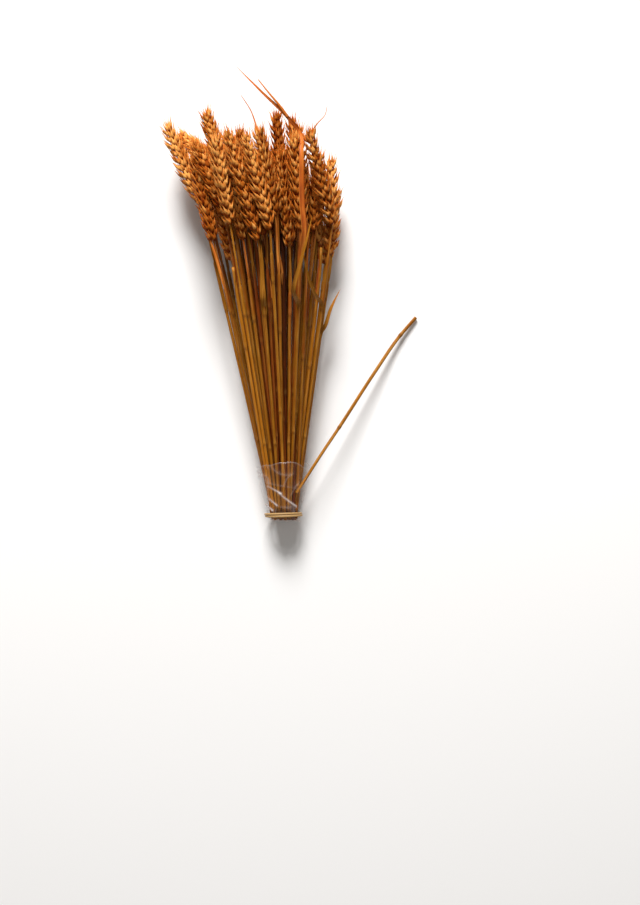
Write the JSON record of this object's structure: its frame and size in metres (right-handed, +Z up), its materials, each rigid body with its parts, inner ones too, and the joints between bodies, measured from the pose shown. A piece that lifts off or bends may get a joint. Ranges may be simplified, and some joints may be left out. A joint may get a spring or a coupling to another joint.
{
  "type": "bundle of dried wheat",
  "caption": "Bundle of dried wheat lying down: ripe ears on long straws, gathered at the cut ends in a clear film sleeve with a rubber band.",
  "frame": {"origin": "on the surface that the bundle lies on, under the rubber band", "axes": "+Y from the cut ends to the ears, +Z up from the surface, +X to the right seen from above"},
  "size_m": [0.2576, 0.4493, 0.1115],
  "materials": {
    "wheat": "dry golden tan straw",
    "straw": "dry straw with a soft sheen",
    "clear_film": "clear glossy film",
    "band": "light tan rubber"
  },
  "bodies": {
    "root": {"stalk_01": "wheat", "stalk_02": "wheat", "stalk_03": "wheat", "stalk_04": "wheat", "stalk_05": "wheat", "stalk_06": "wheat", "stalk_07": "wheat", "stalk_08": "wheat", "stalk_09": "wheat", "stalk_10": "wheat", "stalk_11": "wheat", "stalk_12": "wheat", "stalk_13": "wheat", "stalk_14": "wheat", "stalk_15": "wheat", "stalk_16": "wheat", "stalk_17": "wheat", "stalk_18": "wheat", "stalk_19": "wheat", "stalk_20": "wheat", "stalk_21": "wheat", "stalk_22": "wheat", "stalk_23": "wheat", "stalk_24": "wheat", "stalk_25": "wheat", "stalk_26": "wheat", "stalk_27": "wheat", "stalk_28": "wheat", "stalk_29": "wheat", "stalk_30": "wheat", "stalk_31": "wheat", "stalk_32": "wheat", "stalk_33": "wheat", "stalk_34": "wheat", "stalk_35": "wheat", "stalk_36": "wheat", "stalk_37": "wheat", "stalk_38": "wheat", "stalk_39": "wheat", "stalk_40": "wheat", "stalk_41": "wheat", "stalk_42": "wheat", "stalk_43": "wheat", "stalk_44": "wheat", "stalk_45": "wheat", "stalk_46": "wheat", "bare_straw_1": "straw", "bare_straw_2": "straw", "bare_straw_3": "straw", "bare_straw_4": "straw", "bare_straw_5": "straw", "bare_straw_6": "straw", "bare_straw_7": "straw", "bare_straw_8": "straw", "broken_straw": "straw", "film_sleeve": "clear_film", "rubber_band": "band"}
  },
  "joints": []
}
